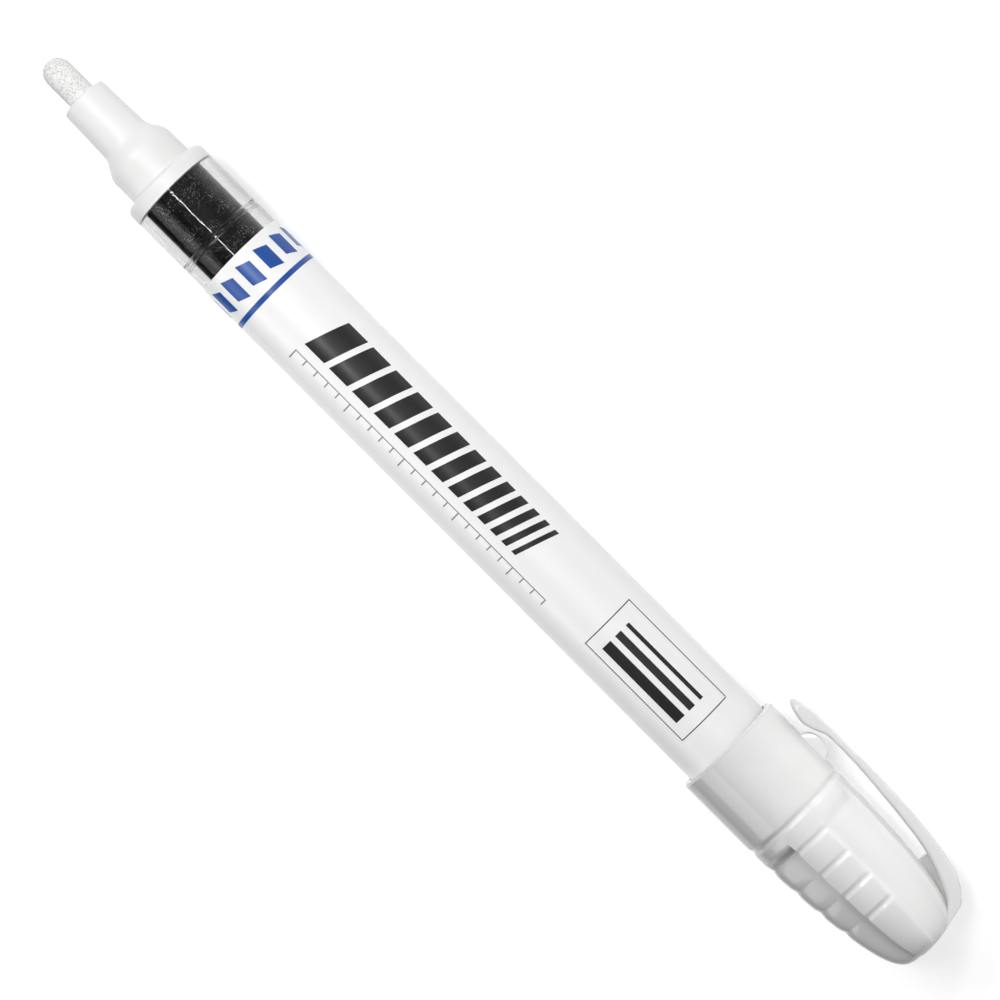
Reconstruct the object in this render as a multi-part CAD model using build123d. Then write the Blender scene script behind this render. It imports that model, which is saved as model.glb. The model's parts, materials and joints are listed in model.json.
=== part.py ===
# Valve-action paint marker, lying on its side with the cap posted on its rear end.
# Millimetres. It is built along X with the nib towards +X and the clip towards +Z, and station zero is the
# front end of the barrel. The last section rolls it on to its cap and clip and sets it down on the floor.

from build123d import *
import os
from math import asin, atan2, cos, degrees, hypot, pi, sin, sqrt

# Barrel: the clear tube that holds the paint
barrel_diameter = 12.4
barrel_wall = 1.6
barrel_length = 106.75
barrel_edge = 0.2
neck_length = 8.25
neck_groove_width = 0.5
neck_groove_depth = 0.12

# Label: a film sleeve round the barrel, from the window to the rim of the posted cap
window_length = 11.6
label_thickness = 0.18
label_end_gap = 0.4

# Nose cone
collar_length = 2.1
collar_edge = 0.8
shoulder_diameter = 9.5
shoulder_length = 3.65
flare_length = 3.25
snout_rear_diameter = 6.75
snout_front_diameter = 6.3
snout_length = 7.25
snout_edge = 0.35
feed_chamber_diameter = 5.6
feed_chamber_gap = 1.2
nib_clearance = 0.1

# Nib
nib_diameter = 3.9
nib_reach = 6.25
nib_crown = 1.75
nib_travel = 1.5

# Valve housing: its spigot holds the nose cone, its rear half is pressed into the barrel
spigot_diameter = 7.9
spigot_length = 3.4
spigot_clearance = 0.02
spigot_end_gap = 0.2
housing_length = 17.0
housing_view_gap = 0.1
housing_press_gap = 0.01
housing_ring_setback = 3.6
inlet_chamber_diameter = 6.0
seat_wall = 1.4
orifice_diameter = 3.0
spring_chamber_diameter = 6.8

# Seat ring and valve stem
seat_ring_diameter = 6.4
seat_ring_thickness = 0.8
valve_head_diameter = 5.0
valve_head_thickness = 1.5
valve_head_gap = 0.02
stem_diameter = 2.0
guide_diameter = 2.6
guide_length = 4.5
cup_diameter = 5.0
cup_depth = 2.4
cup_floor = 1.0
cup_clearance = 0.02
bottoming_gap = 0.1

# Valve spring and its retainer
spring_wire = 0.5
spring_diameter = 4.0
spring_turns = 6
spring_seat_gap = 0.02
retainer_diameter = 7.4
retainer_thickness = 1.5
retainer_recess = 2.5
retainer_clearance = 0.01
retainer_hole_diameter = 2.4
retainer_notch_count = 4
retainer_notch_width = 1.2
retainer_notch_depth = 0.7

# Rubber rings in grooves
o_ring_section = 0.6
o_ring_gap = 0.02
o_ring_groove_width = 0.75

# Agitator ball
ball_diameter = 6.4
ball_gap = 0.1

# Rear plug
plug_flange_diameter = 11.8
plug_flange_thickness = 1.2
plug_length = 5.5
plug_clearance = 0.03
plug_core_diameter = 5.0
plug_core_depth = 4.0
plug_edge = 0.3

# Cap shell
cap_skirt_diameter = 14.9
cap_skirt_length = 11.4
cap_groove_width = 1.2
cap_groove_depth = 0.3
cap_length = 35.9
cap_rim_bevel = 0.3
cap_fit_clearance = 0.08
cap_lead_clearance = 0.15
cap_lead_length = 2.2
cap_stop_gap = 0.1

# Outline of the cap behind its groove: shares of the length left and of the skirt's radius
cap_body_shares = ((0, 0.985), (0.51, 0.933), (0.768, 0.784))
cap_tip_shares = ((0.768, 0.784), (1, 0.64), (1, 0.24))

# Grip of the cap: ribs, channels and scoops, with angles from the clip round the axis
rib_count = 4
rib_first_depth = 15.4
rib_pitch = 3.93
rib_width = 1.0
rib_depth = 0.3
rib_start_angle = 75
channel_start_depth = 14.2
channel_wall = 0.6
channel_start_angle = 118
channel_end_angle = 134
scoop_start_depth = 14.4
scoop_end_depth = 33.5
scoop_depth = 0.45
scoop_start_angle = 24

# Cap liner
liner_wall = 0.6
liner_flange = 0.8
liner_clearance = 0.05
liner_seal_clearance = 0.12
liner_side_clearance = 0.2
liner_nib_clearance = 0.5

# Clip: its arm, its root on the cap, and the two bumps that grip a pocket's edge
clip_width = 4.0
clip_edge = 0.5
clip_reach = 10.66
clip_crest_depth = 13.0
clip_shoulder_depth = 2.9
clip_shoulder_reach = 10.3
clip_tip_depth = 1.75
clip_tip_reach = 9.1
clip_thickness = 1.05
clip_slot_end = 27.2
clip_root_reach = 9.76
clip_root_thickness = 1.72
clip_root_gap = 0.05
clip_bump_depth = 4.9
clip_bump_end_depth = 7.1
clip_bump_height = 1.13
clip_waist_depth = 17.0
clip_waist_thickness = 1.35
web_width = 2.4
web_sink = 0.6
skirt_bump_depth = 7.8
skirt_bump_length = 4.3
skirt_bump_height = 1.35
skirt_bump_width = 3.0

# Sweep of the clip's root down to the cap's end: shares of its length and of its reach
root_outer_shares = ((0.53, 0.943), (1, 0.738), (1, 0.307))
root_inner_shares = ((0.43, 0.74), (0.71, 0.543))

# Every cut runs past its part by this much
overrun = 1.0

# Radii and stations that follow from the sizes above
barrel_radius = barrel_diameter / 2
bore_radius = barrel_radius - barrel_wall
label_radius = barrel_radius + label_thickness
label_front = -window_length
spigot_radius = spigot_diameter / 2
shoulder_radius = shoulder_diameter / 2
shoulder_end = collar_length + shoulder_length
flare_end = shoulder_end + flare_length
nose_length = flare_end + snout_length
nib_radius = nib_diameter / 2
nib_tip = nose_length + nib_reach
cup_rear = nib_travel + bottoming_gap
nib_tail = cup_rear + cup_floor
cup_front = nib_tail + cup_depth
feed_chamber_end = cup_front + feed_chamber_gap
spigot_bore_end = spigot_length + spigot_end_gap
seat_face = -seat_wall - seat_ring_thickness
head_front = seat_face - valve_head_gap
head_rear = head_front - valve_head_thickness
housing_rear = -housing_length
spring_chamber_end = housing_rear + retainer_recess
ring_groove_radius = bore_radius - o_ring_section - 2 * o_ring_gap
plug_front = plug_length - barrel_length
plug_rear = -barrel_length - plug_flange_thickness
cap_radius = cap_skirt_diameter / 2
cap_stop_depth = collar_length + neck_length
cap_mouth = plug_rear - cap_stop_gap + cap_stop_depth
label_rear = cap_mouth + label_end_gap
cap_bore_radius = barrel_radius + cap_fit_clearance
cap_body_start = cap_skirt_length + cap_groove_width
cap_body_span = cap_length - cap_body_start


# Shaping helpers

def turned(*points):
    """Solid of revolution about X from a closed outline of (station, radius) points.

    A third number on a point rounds that corner.
    """
    rounds = [point[2] if len(point) > 2 else 0 for point in points]
    outline = FilletPolyline(*[point[:2] for point in points], radius=rounds, close=True)
    return revolve(Plane.XZ * make_face(outline), Axis.X)


def sector(points, start_angle, end_angle):
    """Outline of (station, radius) points turned about X between two angles from the clip."""
    face = Plane.XZ * make_face(Polyline(*points, close=True))
    return revolve(Rot(start_angle, 0, 0) * face, Axis.X, end_angle - start_angle)


def slab(outline, width):
    """Closed outline in the clip's plane, thickened to a width about that plane."""
    return extrude(Plane.XZ * make_face(outline), width / 2, both=True)


def mirrored_sectors(points, start_angle, end_angle):
    """The same sector on both sides of the clip's plane."""
    near_side = sector(points, start_angle, end_angle)
    return near_side + mirror(near_side, Plane.XZ)


def o_ring(station):
    """Rubber ring that fills its groove out to the barrel's bore."""
    middle_radius = bore_radius - o_ring_gap - o_ring_section / 2
    return Pos(station, 0, 0) * Rot(0, 90, 0) * Torus(middle_radius, o_ring_section / 2)


def o_ring_groove(station):
    half = o_ring_groove_width / 2
    return turned(
        (station - half, ring_groove_radius), (station - half, bore_radius + overrun),
        (station + half, bore_radius + overrun), (station + half, ring_groove_radius))


# Barrel, label and nose

def barrel_tube():
    groove_front = -neck_length + neck_groove_width / 2
    groove_rear = -neck_length - neck_groove_width / 2
    return turned(
        (0, bore_radius), (0, barrel_radius, barrel_edge),
        (groove_front, barrel_radius), (-neck_length, barrel_radius - neck_groove_depth),
        (groove_rear, barrel_radius), (-barrel_length, barrel_radius, barrel_edge),
        (-barrel_length, bore_radius))


def label_sleeve():
    return turned(
        (label_front, barrel_radius), (label_front, label_radius),
        (label_rear, label_radius), (label_rear, barrel_radius))


def nose_cone():
    snout_rear_radius = snout_rear_diameter / 2
    snout_front_radius = snout_front_diameter / 2
    base = turned(
        (0, 0), (0, barrel_radius), (collar_length, barrel_radius, collar_edge),
        (collar_length, shoulder_radius), (shoulder_end, shoulder_radius), (shoulder_end, 0))
    flare_middle = shoulder_end + flare_length / 2
    flare = Bezier(
        (shoulder_end, shoulder_radius), (flare_middle, shoulder_radius),
        (flare_middle, snout_rear_radius), (flare_end, snout_rear_radius))
    snout = FilletPolyline(
        (flare_end, snout_rear_radius), (nose_length, snout_front_radius), (nose_length, 0),
        radius=[snout_edge])
    axis_line = Polyline((nose_length, 0), (shoulder_end, 0), (shoulder_end, shoulder_radius))
    front = revolve(Plane.XZ * make_face(flare + snout + axis_line), Axis.X)
    spigot_bore_radius = spigot_radius + spigot_clearance
    nib_bore_radius = nib_radius + nib_clearance
    bore = turned(
        (-overrun, 0), (-overrun, spigot_bore_radius), (spigot_bore_end, spigot_bore_radius),
        (spigot_bore_end, feed_chamber_diameter / 2), (feed_chamber_end, feed_chamber_diameter / 2),
        (feed_chamber_end, nib_bore_radius), (nose_length + overrun, nib_bore_radius),
        (nose_length + overrun, 0))
    return base + front - bore


# Nib and valve

def nib():
    return turned((nib_tail, 0), (nib_tail, nib_radius), (nib_tip, nib_radius, nib_crown), (nib_tip, 0))


def valve_housing():
    view_radius = bore_radius - housing_view_gap
    press_radius = bore_radius - housing_press_gap
    orifice_radius = orifice_diameter / 2
    inlet_radius = inlet_chamber_diameter / 2
    chamber_radius = spring_chamber_diameter / 2
    recess_radius = retainer_diameter / 2 + retainer_clearance
    body = turned(
        (housing_rear, recess_radius), (housing_rear, press_radius), (label_front, press_radius),
        (label_front, view_radius), (0, view_radius), (0, spigot_radius),
        (spigot_length, spigot_radius), (spigot_length, inlet_radius), (0, inlet_radius),
        (0, orifice_radius), (-seat_wall, orifice_radius), (-seat_wall, chamber_radius),
        (spring_chamber_end, chamber_radius), (spring_chamber_end, recess_radius))
    return body - o_ring_groove(housing_rear + housing_ring_setback)


def seat_ring():
    return turned(
        (seat_face, orifice_diameter / 2), (seat_face, seat_ring_diameter / 2),
        (-seat_wall, seat_ring_diameter / 2), (-seat_wall, orifice_diameter / 2))


def valve_stem():
    guide_rear = head_rear - guide_length
    cup_bore_radius = nib_radius + cup_clearance
    return turned(
        (guide_rear, 0), (guide_rear, guide_diameter / 2), (head_rear, guide_diameter / 2),
        (head_rear, valve_head_diameter / 2), (head_front, valve_head_diameter / 2),
        (head_front, stem_diameter / 2), (cup_rear, stem_diameter / 2), (cup_rear, cup_diameter / 2),
        (cup_front, cup_diameter / 2), (cup_front, cup_bore_radius), (nib_tail, cup_bore_radius),
        (nib_tail, 0))


def spring_arcs():
    """Arcs of the spring's centre line: a pair of tangent arcs for each quarter of a turn."""
    reach = spring_seat_gap + spring_wire / 2
    front = head_rear - reach
    pitch = (front - spring_chamber_end - reach) / spring_turns
    radius = spring_diameter / 2
    print("valve spring: least gap between turns", round(pitch - spring_wire, 3))

    def point(quarter):
        angle = quarter * pi / 2
        return Vector(front - pitch * quarter / 4, radius * cos(angle), radius * sin(angle))

    def heading(quarter):
        angle = quarter * pi / 2
        return Vector(-pitch / (2 * pi), -radius * sin(angle), radius * cos(angle)).normalized()

    arcs = []
    for quarter in range(4 * spring_turns):
        start, start_heading = point(quarter), heading(quarter)
        end, end_heading = point(quarter + 1), heading(quarter + 1)
        chord = end - start
        square = 2 * (start_heading.dot(end_heading) - 1)
        linear = -2 * chord.dot(start_heading + end_heading)
        reach_out = (-linear - sqrt(linear ** 2 - 4 * square * chord.dot(chord))) / (2 * square)
        start_corner = start + start_heading * reach_out
        end_corner = end - end_heading * reach_out
        middle = (start_corner + end_corner) / 2
        arcs.append(TangentArc(start, middle, tangent=start_heading))
        arcs.append(TangentArc(middle, end, tangent=end_corner - start_corner))
    return arcs


def valve_spring():
    path = Wire([arc.edge() for arc in spring_arcs()])
    section = Plane(origin=path @ 0, z_dir=path % 0) * Circle(spring_wire / 2)
    return sweep(section, path=path)


def spring_retainer():
    front = spring_chamber_end
    rear = front - retainer_thickness
    outer = retainer_diameter / 2
    hole = retainer_hole_diameter / 2
    disc = turned((rear, hole), (rear, outer), (front, outer), (front, hole))
    notch = Pos((front + rear) / 2, 0, outer) * Box(
        retainer_thickness + overrun, retainer_notch_width, 2 * retainer_notch_depth)
    for index in range(retainer_notch_count):
        disc -= Rot(360 / retainer_notch_count * index, 0, 0) * notch
    return disc


# Paint chamber

def agitator_ball(down):
    """Ball at the front end of the chamber, resting low in the bore along the given direction."""
    station = housing_rear - ball_gap - ball_diameter / 2
    drop = bore_radius - ball_gap - ball_diameter / 2
    return Pos(station, down.Y * drop, down.Z * drop) * Sphere(ball_diameter / 2)


def rear_plug():
    spigot = bore_radius - plug_clearance
    flange = plug_flange_diameter / 2
    core = plug_core_diameter / 2
    core_front = plug_rear + plug_core_depth
    body = turned(
        (plug_front, 0), (plug_front, spigot, plug_edge), (-barrel_length, spigot),
        (-barrel_length, flange), (plug_rear, flange, plug_edge), (plug_rear, core),
        (core_front, core), (core_front, 0))
    return body - o_ring_groove(plug_front - plug_length / 2)


# Cap

def cap_station(depth):
    """Station of a depth measured from the cap's mouth."""
    return cap_mouth - depth


def cap_points(shares, inset):
    """Outline points of the cap behind its groove, drawn in towards the axis by an inset."""
    return [
        (cap_station(cap_body_start + along * cap_body_span), across * cap_radius - inset)
        for along, across in shares]


def cap_blank(inset):
    """The cap's outer form as a solid of revolution, drawn in towards the axis by an inset."""
    radius = cap_radius - inset
    body = Bezier(*cap_points(cap_body_shares, inset))
    tip = Bezier(*cap_points(cap_tip_shares, inset))
    skirt_end = (cap_station(cap_skirt_length), radius)
    groove_floor = (cap_station(cap_skirt_length + cap_groove_width / 2), radius - cap_groove_depth)
    groove = ThreePointArc(skirt_end, groove_floor, body @ 0)
    skirt = Polyline(
        tip @ 1, (cap_station(cap_length), 0), (cap_station(0), 0),
        (cap_station(0), radius - cap_rim_bevel), (cap_station(cap_rim_bevel), radius), skirt_end)
    return revolve(Plane.XZ * make_face(body + tip + skirt + groove), Axis.X)


def cap_body_radius(depth):
    """Radius of the cap's outline at a depth, from the quadratic of its body curve."""
    depths, radii = zip(*[
        (cap_body_start + along * cap_body_span, across * cap_radius) for along, across in cap_body_shares])
    square = depths[0] - 2 * depths[1] + depths[2]
    linear = 2 * (depths[1] - depths[0])
    constant = depths[0] - depth
    step = 2 * constant / (-linear - sqrt(linear ** 2 - 4 * square * constant))
    return (1 - step) ** 2 * radii[0] + 2 * step * (1 - step) * radii[1] + step ** 2 * radii[2]


def closed_depth(station):
    """Depth in the cap of a station of the nose when the cap is closed over it."""
    return station + neck_length


# Inside of the liner: depth and radius round the nose's seal, flare, snout and nib
liner_hollow = (
    (closed_depth(shoulder_end + flare_length / 4), shoulder_radius + liner_seal_clearance),
    (closed_depth(flare_end), snout_rear_diameter / 2 + liner_side_clearance),
    (closed_depth(nose_length), snout_front_diameter / 2 + liner_side_clearance),
    (closed_depth(nib_tip) + liner_nib_clearance, nib_radius + liner_nib_clearance))


def around_hollow(margin):
    """Points of (station, radius) that follow the liner's hollow at a margin outside it."""
    return [(cap_station(depth), radius + margin) for depth, radius in liner_hollow]


def cap_liner():
    flange_rear = cap_station(cap_stop_depth + liner_flange)
    mouth = cap_station(cap_stop_depth)
    end = liner_hollow[-1][0]
    outside = around_hollow(liner_wall)
    inside = around_hollow(0)
    return turned(
        (mouth, inside[0][1]), (mouth, cap_bore_radius - liner_clearance),
        (flange_rear, cap_bore_radius - liner_clearance), (flange_rear, outside[0][1]), *outside,
        (cap_station(end + liner_wall), outside[-1][1]), (cap_station(end + liner_wall), 0),
        (cap_station(end), 0), *reversed(inside))


def cap_hollow():
    """Space inside the shell: a lead-in at the mouth, then the barrel's bore and the liner's seat."""
    lead_radius = label_radius + cap_lead_clearance
    flange_rear = cap_station(cap_stop_depth + liner_flange)
    seat = around_hollow(liner_wall + liner_clearance)
    end = cap_station(liner_hollow[-1][0] + liner_wall + liner_clearance)
    return turned(
        (cap_mouth + overrun, 0), (cap_mouth + overrun, lead_radius),
        (cap_station(cap_lead_length), lead_radius), (cap_station(cap_lead_length), cap_bore_radius),
        (flange_rear, cap_bore_radius), (flange_rear, seat[0][1]), *seat, (end, seat[-1][1]), (end, 0))


def grip_ribs():
    """Rings of V grooves round the lobes, from one side of the clip round to the other."""
    rings = []
    for index in range(rib_count):
        depth = rib_first_depth + rib_pitch * index
        radius = cap_body_radius(depth)
        front, rear = cap_station(depth - rib_width / 2), cap_station(depth + rib_width / 2)
        rings.append(sector(
            ((front, radius + overrun), (front, radius), (cap_station(depth), radius - rib_depth),
             (rear, radius), (rear, radius + overrun)),
            rib_start_angle, 360 - rib_start_angle))
    return rings


def grip_channels():
    """Deep channels between the lobes, whose floors keep a wall over the liner's seat."""
    floor = around_hollow(liner_wall + liner_clearance + channel_wall)
    foot = ((floor[0][0] + floor[1][0]) / 2, (floor[0][1] + floor[1][1]) / 2)
    outside = cap_radius + overrun
    lip = cap_station(channel_start_depth)
    end = cap_station(cap_length + overrun)
    points = ((lip, outside), (lip, cap_radius), foot, *floor[1:], (end, floor[-1][1]), (end, outside))
    return mirrored_sectors(points, channel_start_angle, channel_end_angle)


def grip_scoops():
    """Shallow hollows between the clip and the ribbed lobes."""
    front, rear = cap_station(scoop_start_depth), cap_station(scoop_end_depth)
    outside = cap_radius + overrun
    block = mirrored_sectors(
        ((front, 0), (front, outside), (rear, outside), (rear, 0)), scoop_start_angle, rib_start_angle)
    return block - cap_blank(scoop_depth)


def clip_root():
    """Band that carries the clip's arm down to the cap's end, and the thinner web under it."""
    span = cap_length - clip_slot_end

    def swept(shares):
        return [
            (cap_station(clip_slot_end + along * span), across * clip_root_reach) for along, across in shares]

    top = (cap_station(clip_slot_end), clip_root_reach)
    under = (cap_station(clip_slot_end), clip_root_reach - clip_root_thickness)
    outer = Bezier(top, *swept(root_outer_shares))
    inner = Bezier(under, *swept(root_inner_shares))
    foot = (inner @ 1).X, (outer @ 1).Y
    band = slab(outer + Polyline(outer @ 1, foot, inner @ 1) + inner + Line(under, top), clip_width)
    outer_edges = band.faces().filter_by(Axis.Y).edges().sort_by(SortBy.LENGTH)[-2:]
    web = slab(Polyline(
        (cap_station(clip_slot_end), clip_root_reach - clip_root_thickness / 2),
        (cap_station(clip_slot_end), cap_body_radius(clip_slot_end) - web_sink),
        foot, inner @ 1, close=True), web_width)
    return fillet(outer_edges, clip_edge) + web


def skirt_bump():
    half = skirt_bump_length / 2
    base = (cap_radius + cap_bore_radius) / 2
    front, rear = cap_station(skirt_bump_depth - half), cap_station(skirt_bump_depth + half)
    crest = (cap_station(skirt_bump_depth), cap_radius + skirt_bump_height)
    arch = ThreePointArc((front, cap_radius), crest, (rear, cap_radius))
    return slab(arch + Polyline((rear, cap_radius), (rear, base), (front, base), (front, cap_radius)),
                skirt_bump_width)


def cap_shell():
    body = cap_blank(0) - grip_ribs() - grip_channels() - grip_scoops()
    return body + clip_root() + skirt_bump() - cap_hollow()


def pocket_clip():
    root = cap_station(clip_slot_end) + clip_root_gap
    top = (root, clip_root_reach)
    under = (root, clip_root_reach - clip_root_thickness)
    crest = (cap_station(clip_crest_depth), clip_reach)
    shoulder = (cap_station(clip_shoulder_depth), clip_shoulder_reach)
    bump_front = (cap_station(clip_tip_depth), clip_tip_reach)
    bump_low = (cap_station(clip_bump_depth), clip_reach - clip_thickness - clip_bump_height)
    bump_rear = (cap_station(clip_bump_end_depth), clip_reach - clip_thickness)
    waist = (cap_station(clip_waist_depth), clip_reach - clip_waist_thickness)
    back = ThreePointArc(top, crest, shoulder)
    tip = TangentArc(shoulder, bump_front, tangent=back % 1)
    bump = ThreePointArc(bump_front, bump_low, bump_rear)
    belly = ThreePointArc(bump_rear, waist, under)
    arm = slab(back + tip + bump + belly + Line(under, top), clip_width)
    back_faces = arm.faces().filter_by(GeomType.CYLINDER).sort_by(SortBy.RADIUS)
    back_edges = arm.faces().filter_by(Axis.Y).edges() & back_faces[-1].edges()
    return fillet(back_edges, clip_edge)


# Resting attitude: the cap's skirt and the rounded edge of the clip touch the floor together
edge_reach = clip_reach - clip_edge
edge_side = clip_width / 2 - clip_edge
lean = asin((cap_radius - clip_edge) / hypot(edge_reach, edge_side)) - atan2(edge_side, edge_reach)
clip_overhang = edge_reach * cos(lean) + edge_side * sin(lean) + clip_edge
middle_station = (nib_tip + cap_station(cap_length)) / 2
lay_down = Pos(-middle_station, (clip_overhang - cap_radius) / 2, cap_radius) * Rot(90 + degrees(lean), 0, 0)
floor_direction = Vector(0, -cos(lean), sin(lean))

nodes = {
    "barrel_tube": barrel_tube(),
    "label_sleeve": label_sleeve(),
    "nose_cone": nose_cone(),
    "valve_housing": valve_housing(),
    "seat_ring": seat_ring(),
    "spring_retainer": spring_retainer(),
    "housing_o_ring": o_ring(housing_rear + housing_ring_setback),
    "rear_plug": rear_plug(),
    "plug_o_ring": o_ring(plug_front - plug_length / 2),
    "nib": nib(),
    "valve_stem": valve_stem(),
    "valve_spring": valve_spring(),
    "agitator_ball": agitator_ball(floor_direction),
    "cap_shell": cap_shell(),
    "cap_liner": cap_liner(),
    "pocket_clip": pocket_clip(),
}

os.makedirs("parts", exist_ok=True)
for name, solid in nodes.items():
    export_step(lay_down * solid, f"parts/{name}.step")
print("lean of the clip below level:", round(degrees(lean), 3))
print("axis height and sideways place:", round(cap_radius, 3), round((clip_overhang - cap_radius) / 2, 3))
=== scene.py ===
# %% [markdown]
# # A paint marker, dressed for its portrait
#
# The marker lies on its side with the cap posted on its rear end. The solids already give every piece its
# size and place, so this lesson only makes what the eye sees: smooth skins for the pieces that show, and a
# finish for every surface. All shapes are worked out in millimetres and become metres in the meshes.

# %% Load the frame
import json

import bmesh
import bpy
import numpy as np
from mathutils import Matrix, Vector


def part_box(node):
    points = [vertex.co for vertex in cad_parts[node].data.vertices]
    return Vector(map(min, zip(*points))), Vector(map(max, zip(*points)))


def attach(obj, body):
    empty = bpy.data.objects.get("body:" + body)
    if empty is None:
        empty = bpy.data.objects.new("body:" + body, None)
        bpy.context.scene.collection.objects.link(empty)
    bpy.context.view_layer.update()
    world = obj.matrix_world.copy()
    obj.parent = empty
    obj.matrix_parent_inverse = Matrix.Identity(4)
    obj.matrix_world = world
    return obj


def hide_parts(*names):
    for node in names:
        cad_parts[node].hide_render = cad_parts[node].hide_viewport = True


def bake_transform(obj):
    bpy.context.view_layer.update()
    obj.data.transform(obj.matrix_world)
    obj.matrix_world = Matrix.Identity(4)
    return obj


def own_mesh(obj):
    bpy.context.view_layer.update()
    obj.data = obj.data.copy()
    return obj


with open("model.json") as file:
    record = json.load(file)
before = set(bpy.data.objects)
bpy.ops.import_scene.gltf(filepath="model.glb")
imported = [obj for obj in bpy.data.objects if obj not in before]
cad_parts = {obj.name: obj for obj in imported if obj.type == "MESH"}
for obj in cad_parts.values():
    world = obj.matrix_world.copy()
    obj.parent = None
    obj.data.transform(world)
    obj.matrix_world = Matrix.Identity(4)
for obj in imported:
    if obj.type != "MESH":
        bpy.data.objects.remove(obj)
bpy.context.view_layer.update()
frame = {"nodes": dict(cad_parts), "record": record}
metres = 0.001
print("nodes in the frame:", len(frame["nodes"]))

# %% [markdown]
# ## Where the marker lies
#
# Every visible piece is round about one line, so points are written as a station along the barrel, a radius
# and an angle. The angle is counted from the clip, and a quarter turn from the clip faces the camera. The
# line could be typed in, but it is read from the barrel's own box, and the clip's direction from the axis
# of the joint that lets the clip flex, so that the dress always fits the solids.


# %% Axis of the barrel and the clip's direction
def box_mm(node):
    """Lowest and highest corner of a solid, in millimetres."""
    return [np.array(corner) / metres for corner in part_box(node)]


def box_radius(low, high):
    """Radius of a round solid that lies along X: half the height of its box."""
    return (high[2] - low[2]) / 2


def joint(name):
    """A joint's entry in the record that comes with the frame."""
    return next(entry for entry in frame["record"]["behaviour"]["joints"] if entry["name"] == name)


barrel_low, barrel_high = box_mm("barrel_tube")
barrel_radius = box_radius(barrel_low, barrel_high)
axis_middle = (barrel_low + barrel_high) / 2
hinge = joint("clip_flex")
flex_axis = np.array(hinge["axis"]) / np.linalg.norm(hinge["axis"])
along = np.array([1.0, 0.0, 0.0])
to_clip = np.cross(flex_axis, along)
to_viewer = -flex_axis
print("barrel radius", barrel_radius.round(2), "clip direction", to_clip.round(3))


# %% Points round the axis
def around(station, radius, angle):
    """Points at a station along X, a radius and an angle in radians from the clip, on any arrays that
    broadcast: the axis point plus radius times (cosine towards the clip plus sine towards the viewer)."""
    station, radius, angle = np.broadcast_arrays(station, radius, angle)
    across = np.cos(angle)[..., None] * to_clip + np.sin(angle)[..., None] * to_viewer
    on_axis = station[..., None] * along + axis_middle * (1 - along)
    return on_axis + radius[..., None] * across


def spot(station, radius):
    """One point on the clip's side, in metres."""
    return tuple(around(station, radius, 0.0) * metres)


def full_turn(count):
    """Evenly spaced angles round the axis."""
    return np.linspace(0, 2 * np.pi, count, endpoint=False)


# %% [markdown]
# ## From a grid of points to a mesh
#
# Blender can turn, bevel and bridge by hand, but a grid of numbers is the plainest way to hold a surface:
# rows and columns of points, with one four-sided face between each four neighbours. A direction that closes
# on itself is wrapped, and a row that shrinks to one point is merged, so that the skin has no seam and no
# hole.

# %% Grid to mesh
merge_distance = 1e-7
sharp_angle = np.radians(38)


def skin(name, grid, wrap_rows=False, wrap_columns=True):
    """Object from points (..., rows, columns, 3) in millimetres. Faces join each point to the next in its row
    and column; wrapped directions join the last line to the first. Doubles are merged and faces turned
    outwards."""
    index = np.arange(grid[..., 0].size).reshape(grid.shape[:-1])
    if wrap_rows:
        index = np.concatenate([index, index[..., :1, :]], axis=-2)
    if wrap_columns:
        index = np.concatenate([index, index[..., :1]], axis=-1)
    quads = np.stack(
        [index[..., :-1, :-1], index[..., :-1, 1:], index[..., 1:, 1:], index[..., 1:, :-1]], axis=-1)
    mesh = bpy.data.meshes.new(name)
    mesh.from_pydata(grid.reshape(-1, 3) * metres, [], quads.reshape(-1, 4).tolist())
    shape = bmesh.new()
    shape.from_mesh(mesh)
    bmesh.ops.remove_doubles(shape, verts=shape.verts, dist=merge_distance)
    bmesh.ops.recalc_face_normals(shape, faces=shape.faces)
    shape.to_mesh(mesh)
    shape.free()
    mesh.shade_smooth()
    mesh.set_sharp_from_angle(angle=sharp_angle)
    piece = bpy.data.objects.new(name, mesh)
    bpy.context.collection.objects.link(piece)
    print(name, "faces:", len(mesh.polygons))
    return piece


# %% Outlines with rounded corners
tiny = 1e-9
arc_steps = 9
hold_reach = 0.1
long_run = 4 * hold_reach


def held(line):
    """The same line with a point a short reach from both ends of each long straight run. Smooth shading
    averages the faces that meet at a point, so without these a long face would look bent all the way to its
    rounded edge."""
    runs = np.diff(line, axis=0)
    lengths = np.linalg.norm(runs, axis=1, keepdims=True)
    long = np.flatnonzero(lengths > long_run)
    steps = runs[long] / lengths[long] * hold_reach
    extra = np.stack([line[long] + steps, line[long + 1] - steps], 1).reshape(-1, 2)
    return np.insert(line, np.repeat(long + 1, 2), extra, axis=0)


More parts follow.
